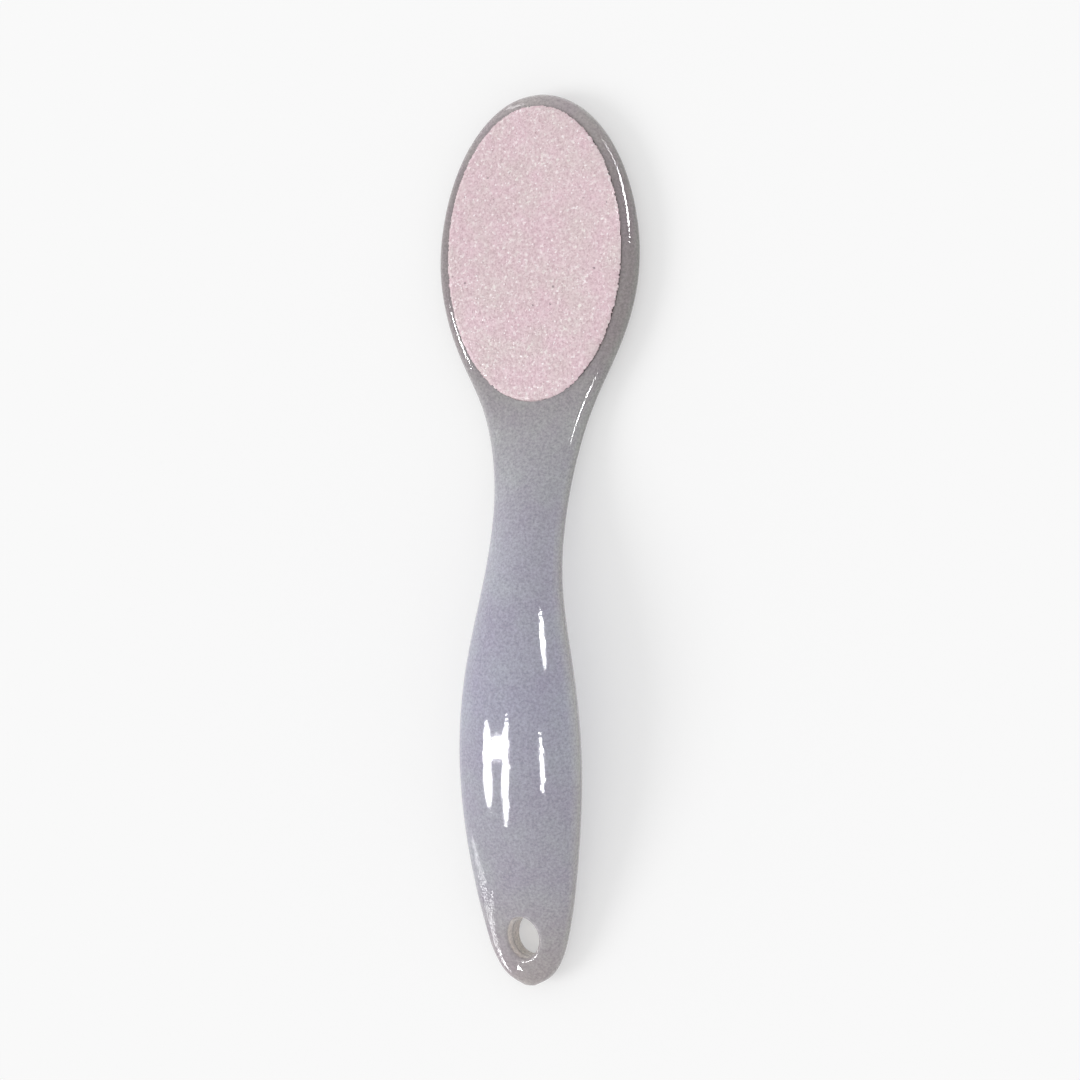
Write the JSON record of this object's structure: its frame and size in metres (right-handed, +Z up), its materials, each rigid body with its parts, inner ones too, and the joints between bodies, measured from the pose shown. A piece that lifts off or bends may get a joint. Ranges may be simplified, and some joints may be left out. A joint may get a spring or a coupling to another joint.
{
  "type": "foot file",
  "caption": "Paddle foot file: a flat oval head with an abrasive pad on each side, and an arched hollow grip that swells in the hand and ends in an oval hanging hole.",
  "frame": {"origin": "on the surface that the file lies on, under the middle of its length and width", "axes": "+X across the width, +Y from the tail to the head, +Z up from the rear pad to the front pad"},
  "size_m": [0.05, 0.21, 0.0221],
  "materials": {
    "handle_plastic": "glossy moulded polystyrene, lavender grey",
    "pad_adhesive": "pressure-sensitive adhesive film",
    "pad_backing": "vulcanised fibre sheet, reddish brown edge",
    "coarse_grit": "pale pink aluminium oxide grit, coarse",
    "fine_grit": "pale pink aluminium oxide grit, fine"
  },
  "bodies": {
    "root": {"front_shell": "handle_plastic", "rear_shell": "handle_plastic", "front_pad_adhesive": "pad_adhesive", "front_pad_backing": "pad_backing", "front_pad_grit": "coarse_grit", "rear_pad_adhesive": "pad_adhesive", "rear_pad_backing": "pad_backing", "rear_pad_grit": "fine_grit"}
  },
  "joints": []
}
